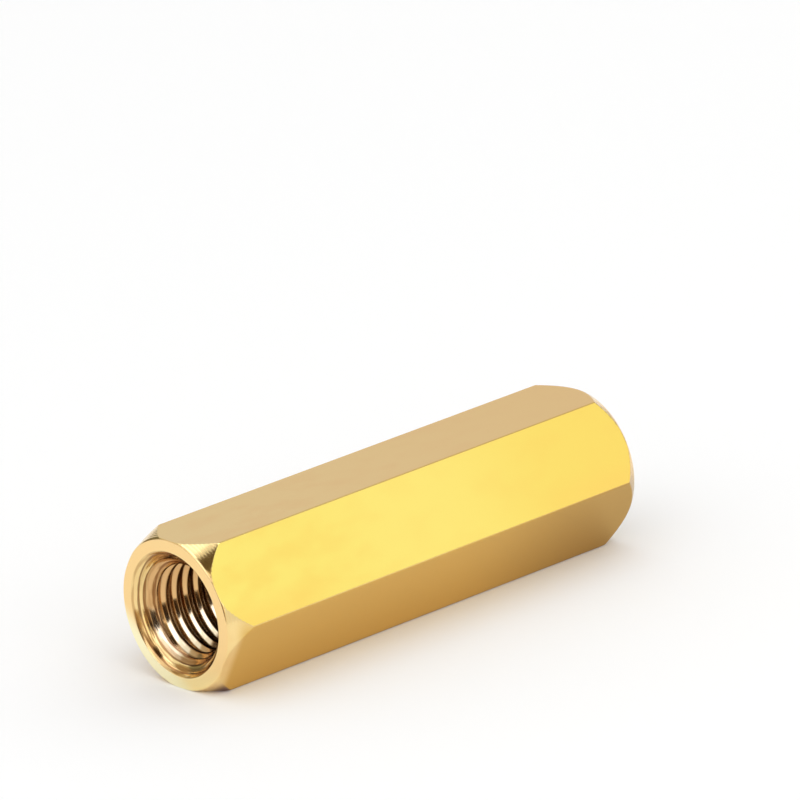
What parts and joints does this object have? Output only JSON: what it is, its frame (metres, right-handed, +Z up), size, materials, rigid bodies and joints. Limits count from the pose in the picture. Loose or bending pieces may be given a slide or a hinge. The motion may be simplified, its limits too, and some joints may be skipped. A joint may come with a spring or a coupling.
{
  "type": "hex standoff",
  "caption": "Brass hex standoff with an internal thread right through, countersunk mouths and conically chamfered corners, more steeply at one end than at the other.",
  "frame": {"origin": "under the middle of the standoff, on the flat that it lies on", "axes": "+X along the bore, from one end face to the other; +Z up, square to the flat that it lies on; +Y across two opposite corners"},
  "size_m": [0.025, 0.008, 0.007],
  "materials": {
    "brass": "bright polished, with fine turning marks on the end faces and chamfers"
  },
  "bodies": {
    "root": {"standoff": "brass"}
  },
  "joints": []
}
